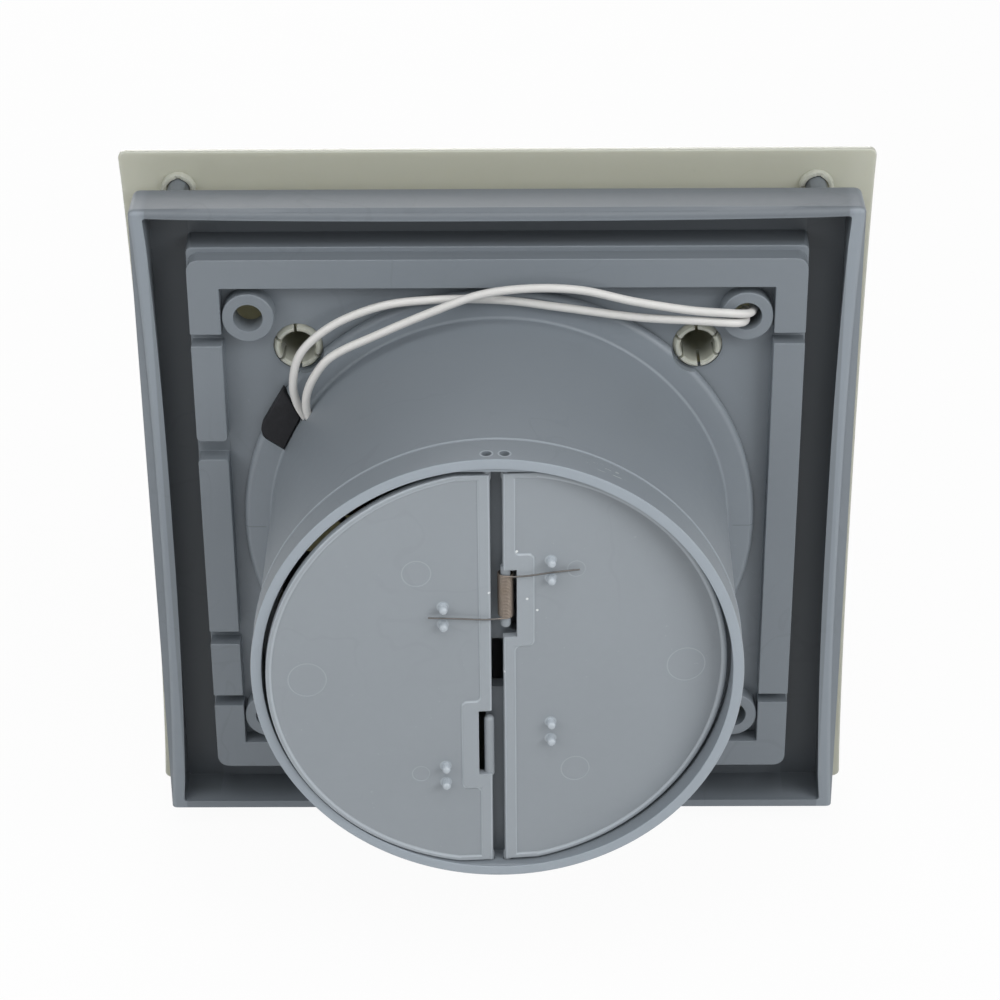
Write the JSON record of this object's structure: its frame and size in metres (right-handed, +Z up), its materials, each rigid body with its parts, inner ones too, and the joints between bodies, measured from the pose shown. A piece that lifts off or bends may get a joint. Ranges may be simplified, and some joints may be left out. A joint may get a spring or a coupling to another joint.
{
  "type": "window exhaust fan",
  "caption": "Square wall and window exhaust fan with a clip-on front panel, an axial impeller, a round duct spigot and sprung shutter flaps.",
  "frame": {"origin": "centre of the duct in the wall plane, where the rear frame bears on the wall or window pane", "axes": "+Y along the duct, away from the room; +Z up; +X to the left as seen from behind"},
  "size_m": [0.1596, 0.0827, 0.1596],
  "materials": {
    "housing_grey": "fine satin moulding texture",
    "flap_grey": "satin",
    "panel_ivory": "satin gloss",
    "impeller_grey": "satin",
    "seal_rubber": "matt",
    "wire_white": "smooth insulation",
    "block_natural": "smooth",
    "bobbin_black": "smooth",
    "spring_steel": "drawn wire",
    "bracket_steel": "pressed, zinc plated",
    "laminations": "stacked sheet",
    "winding_copper": "enamelled copper",
    "bush_bronze": "sintered",
    "terminal_brass": "machined",
    "screw_steel": "zinc plated"
  },
  "bodies": {
    "housing": {"base_housing": "housing_grey", "duct_spigot": "housing_grey", "front_panel": "panel_ivory", "wire_seal": "seal_rubber", "lead_wire_outer": "wire_white", "lead_wire_inner": "wire_white", "motor_mount": "housing_grey", "stator_core": "laminations", "coil_bobbin": "bobbin_black", "stator_coil": "winding_copper", "bearing_bracket_front": "bracket_steel", "bearing_bracket_rear": "bracket_steel", "bearing_bush_front": "bush_bronze", "bearing_bush_rear": "bush_bronze", "shading_ring_upper": "winding_copper", "shading_ring_lower": "winding_copper", "terminal_block": "block_natural", "cord_clamp": "housing_grey", "mount_screw_1": "screw_steel", "mount_screw_2": "screw_steel", "mount_screw_3": "screw_steel", "mount_screw_4": "screw_steel", "motor_screw_1": "screw_steel", "motor_screw_2": "screw_steel", "terminal_screw_1": "terminal_brass", "terminal_screw_2": "terminal_brass", "terminal_screw_3": "terminal_brass", "terminal_screw_4": "terminal_brass", "block_screw": "screw_steel", "clamp_screw_1": "screw_steel", "clamp_screw_2": "screw_steel"},
    "rotor": {"motor_shaft": "screw_steel", "rotor_core": "laminations", "impeller": "impeller_grey", "impeller_clip": "screw_steel"},
    "flap_left": {"flap_left": "flap_grey"},
    "flap_right": {"flap_right": "flap_grey", "shutter_spring": "spring_steel"}
  },
  "joints": [
    {"name": "impeller_spin", "type": "hinge", "parent": "housing", "child": "rotor", "pos_m": [0, 0, 0], "axis": [0, 1, 0], "continuous": true},
    {"name": "flap_left_hinge", "type": "hinge", "parent": "housing", "child": "flap_left", "pos_m": [0.00175, 0.0571, 0], "axis": [0, 0, 1], "range_deg": [-9, 74.5], "stiffness_Nm_per_rad": 0.002},
    {"name": "flap_right_hinge", "type": "hinge", "parent": "housing", "child": "flap_right", "pos_m": [-0.00175, 0.0571, 0], "axis": [0, 0, -1], "range_deg": [0, 83.5], "stiffness_Nm_per_rad": 0.002, "deforming": ["shutter_spring"]}
  ]
}
